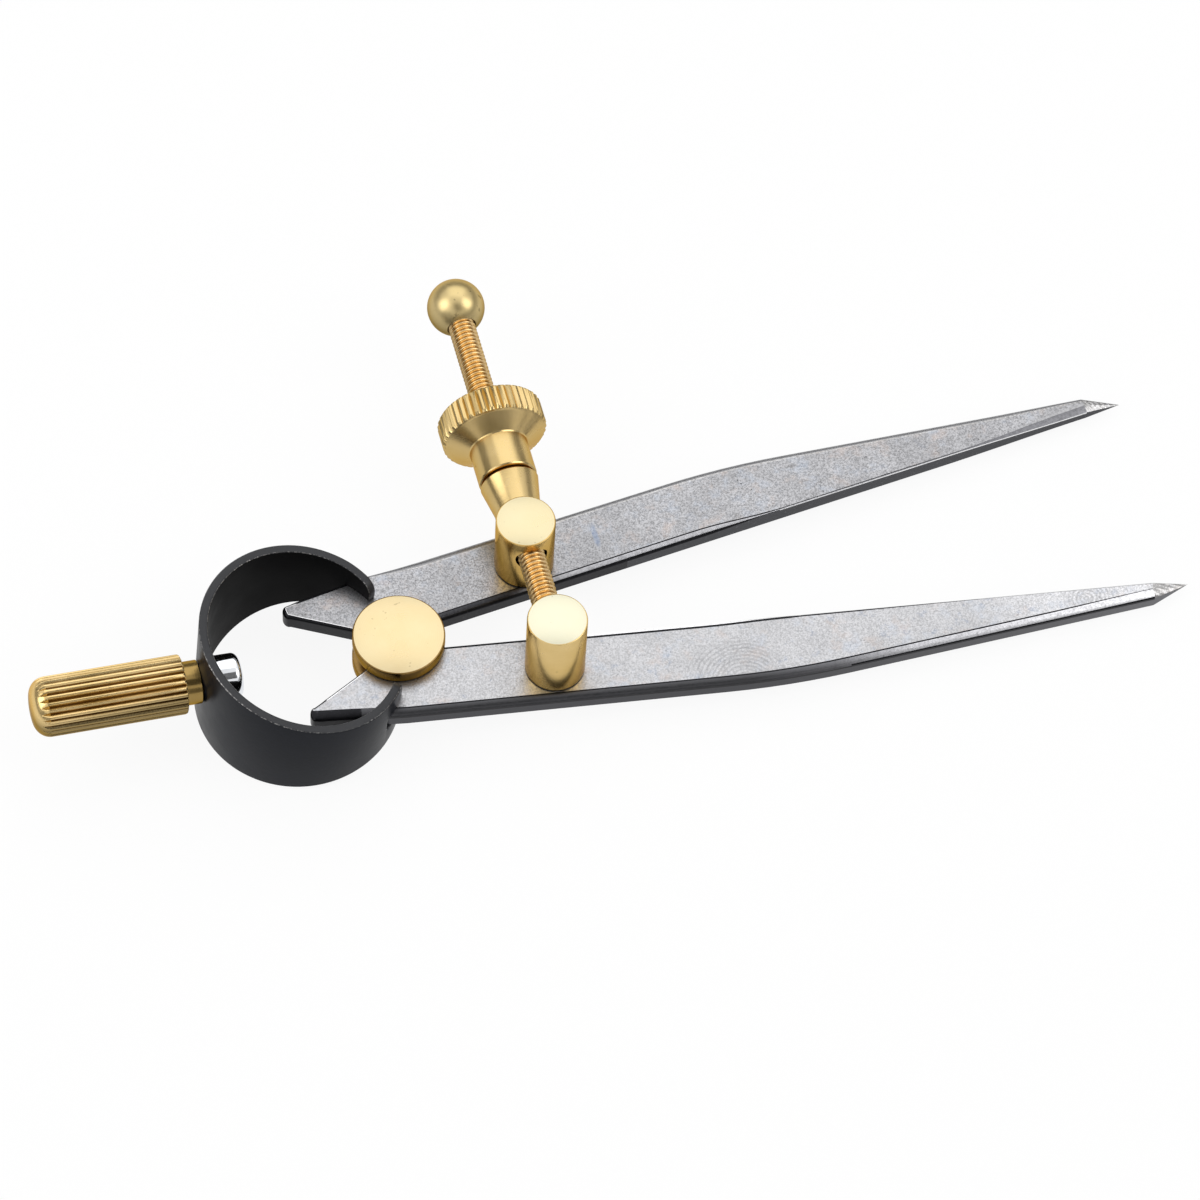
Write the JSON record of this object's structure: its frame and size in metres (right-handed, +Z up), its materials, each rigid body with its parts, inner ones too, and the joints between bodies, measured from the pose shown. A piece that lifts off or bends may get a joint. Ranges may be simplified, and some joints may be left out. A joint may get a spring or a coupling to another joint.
{
  "type": "spring divider",
  "caption": "Spring divider: flat pointed steel legs on a brass spool, a forked bow spring with a fluted handle, and a screw with a knurled thumb nut that sets how far the points stand apart.",
  "frame": {"origin": "on the fulcrum axis, at the underside of the brass spool", "axes": "+X between the legs towards the points, +Y towards the leg with the thumb nut, +Z up along the fulcrum axis, towards the side of the posts and screw"},
  "size_m": [0.1674, 0.0727, 0.0239],
  "materials": {
    "leg_steel": "ground, lightly mottled",
    "black_oxide_steel": "black oxide, satin",
    "brass": "turned, satin",
    "screw_brass": "cut thread",
    "plated_steel": "bright plated"
  },
  "bodies": {
    "head": {"fulcrum_spool": "brass", "bow_spring": "black_oxide_steel", "handle": "brass", "handle_screw": "plated_steel"},
    "far_arm": {"far_leg": "leg_steel"},
    "near_arm": {"near_leg": "leg_steel"},
    "near_swivel": {"near_post": "brass", "near_post_washer": "leg_steel", "adjusting_screw": "screw_brass", "ball_end": "brass"},
    "far_swivel": {"far_post": "brass", "far_post_washer": "leg_steel", "thrust_collar": "brass"},
    "nut": {"thumb_nut": "brass"}
  },
  "joints": [
    {"name": "thumb_nut_turn", "type": "hinge", "parent": "far_swivel", "child": "nut", "pos_m": [0.02073, 0.028, 0.0122], "axis": [0, 1, 0], "range_deg": [-2799, 6997]},
    {"name": "far_leg_swing", "type": "hinge", "parent": "head", "child": "far_arm", "pos_m": [0, 0, 0.00355], "axis": [0, 0, 1], "range_deg": [-8.01, 20.01], "deforming": ["bow_spring"]},
    {"name": "near_leg_swing", "type": "hinge", "parent": "head", "child": "near_arm", "pos_m": [0, 0, 0.00355], "axis": [0, 0, -1], "range_deg": [-8.01, 20.01], "deforming": ["bow_spring"]},
    {"name": "near_post_swivel", "type": "hinge", "parent": "near_arm", "child": "near_swivel", "pos_m": [0.02073, -0.00893, 0.0122], "axis": [0, 0, 1], "range_deg": [-8.01, 20.01]},
    {"name": "far_post_swivel", "type": "hinge", "parent": "far_arm", "child": "far_swivel", "pos_m": [0.02073, 0.00893, 0.0122], "axis": [0, 0, -1], "range_deg": [-8.01, 20.01]}
  ],
  "couplings": [
    {"joint": "far_leg_swing", "follows": "thumb_nut_turn", "ratio": 0.002859},
    {"joint": "near_leg_swing", "follows": "thumb_nut_turn", "ratio": 0.002859},
    {"joint": "near_post_swivel", "follows": "thumb_nut_turn", "ratio": 0.002859},
    {"joint": "far_post_swivel", "follows": "thumb_nut_turn", "ratio": 0.002859}
  ]
}
